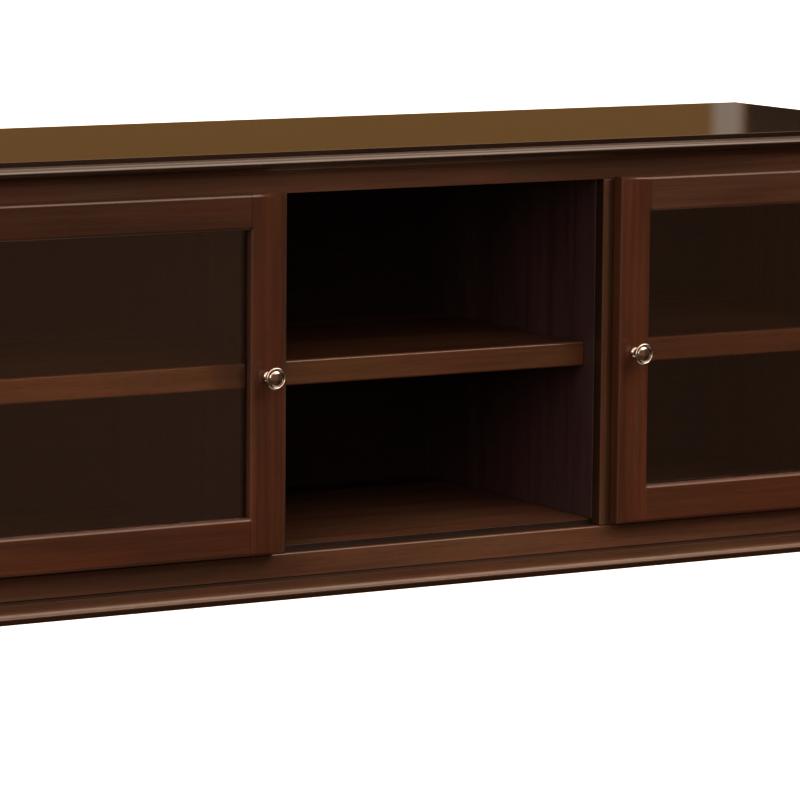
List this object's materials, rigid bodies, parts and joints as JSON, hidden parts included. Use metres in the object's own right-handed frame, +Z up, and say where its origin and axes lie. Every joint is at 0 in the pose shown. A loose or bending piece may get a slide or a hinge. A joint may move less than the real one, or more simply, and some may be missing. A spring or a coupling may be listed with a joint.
{
  "type": "tv stand with doors",
  "caption": "Low dark wood TV stand with moulded top and base edges, an open center bay with a shelf, and a glazed hinged door with a round metal knob on each side.",
  "frame": {"origin": "on the floor, under the middle of the whole object's box", "axes": "+X along the stand to the right as seen from the front, +Y from the front to the back, +Z up; the doors face -Y"},
  "size_m": [1.6, 0.529, 0.592],
  "materials": {
    "exterior_wood": "dark red-brown stained wood, polished lacquer",
    "door_wood": "dark red-brown stained wood, semi-gloss lacquer",
    "interior_wood": "dark stained wood, satin",
    "back_board": "dark stained board, matte",
    "smoked_glass": "clear glass, slightly smoked, polished",
    "glazing_bead": "dark stained bead, satin",
    "polished_nickel": "polished nickel plate",
    "hinge_steel": "dark plated steel",
    "catch_plastic": "brown plastic"
  },
  "bodies": {
    "cabinet": {"top_panel": "exterior_wood", "top_cove_front": "exterior_wood", "top_cove_left": "exterior_wood", "top_cove_right": "exterior_wood", "base_moulding_front": "exterior_wood", "base_moulding_left": "exterior_wood", "base_moulding_right": "exterior_wood", "side_panel_left": "exterior_wood", "side_panel_right": "exterior_wood", "frame_top_rail": "exterior_wood", "frame_bottom_rail": "exterior_wood", "frame_end_stile_left": "exterior_wood", "frame_end_stile_right": "exterior_wood", "frame_mullion_left": "exterior_wood", "frame_mullion_right": "exterior_wood", "base_rail_back": "interior_wood", "bottom_panel": "interior_wood", "partition_left": "interior_wood", "partition_right": "interior_wood", "shelf_left": "interior_wood", "shelf_center": "interior_wood", "shelf_right": "interior_wood", "cleat_left_left": "interior_wood", "cleat_left_right": "interior_wood", "cleat_center_left": "interior_wood", "cleat_center_right": "interior_wood", "cleat_right_left": "interior_wood", "cleat_right_right": "interior_wood", "back_panel": "back_board", "hinge_frame_leaf_left_lower": "hinge_steel", "hinge_frame_leaf_left_upper": "hinge_steel", "magnetic_catch_left": "catch_plastic", "hinge_frame_leaf_right_lower": "hinge_steel", "hinge_frame_leaf_right_upper": "hinge_steel", "magnetic_catch_right": "catch_plastic"},
    "door_left": {"door_knob_stile_left": "door_wood", "door_hinge_stile_left": "door_wood", "door_top_rail_left": "door_wood", "door_bottom_rail_left": "door_wood", "door_glass_left": "smoked_glass", "glazing_bead_left": "glazing_bead", "knob_left": "polished_nickel", "knob_screw_left": "hinge_steel", "catch_strike_left": "hinge_steel", "hinge_door_leaf_left_lower": "hinge_steel", "hinge_door_leaf_left_upper": "hinge_steel"},
    "door_right": {"door_knob_stile_right": "door_wood", "door_hinge_stile_right": "door_wood", "door_top_rail_right": "door_wood", "door_bottom_rail_right": "door_wood", "door_glass_right": "smoked_glass", "glazing_bead_right": "glazing_bead", "knob_right": "polished_nickel", "knob_screw_right": "hinge_steel", "catch_strike_right": "hinge_steel", "hinge_door_leaf_right_lower": "hinge_steel", "hinge_door_leaf_right_upper": "hinge_steel"}
  },
  "joints": [
    {"name": "left_door_hinge", "type": "hinge", "parent": "cabinet", "child": "door_left", "pos_m": [-0.7588, -0.2193, 0], "axis": [0, 0, -1], "range_deg": [0, 105]},
    {"name": "right_door_hinge", "type": "hinge", "parent": "cabinet", "child": "door_right", "pos_m": [0.7588, -0.2193, 0], "axis": [0, 0, 1], "range_deg": [0, 105]}
  ]
}
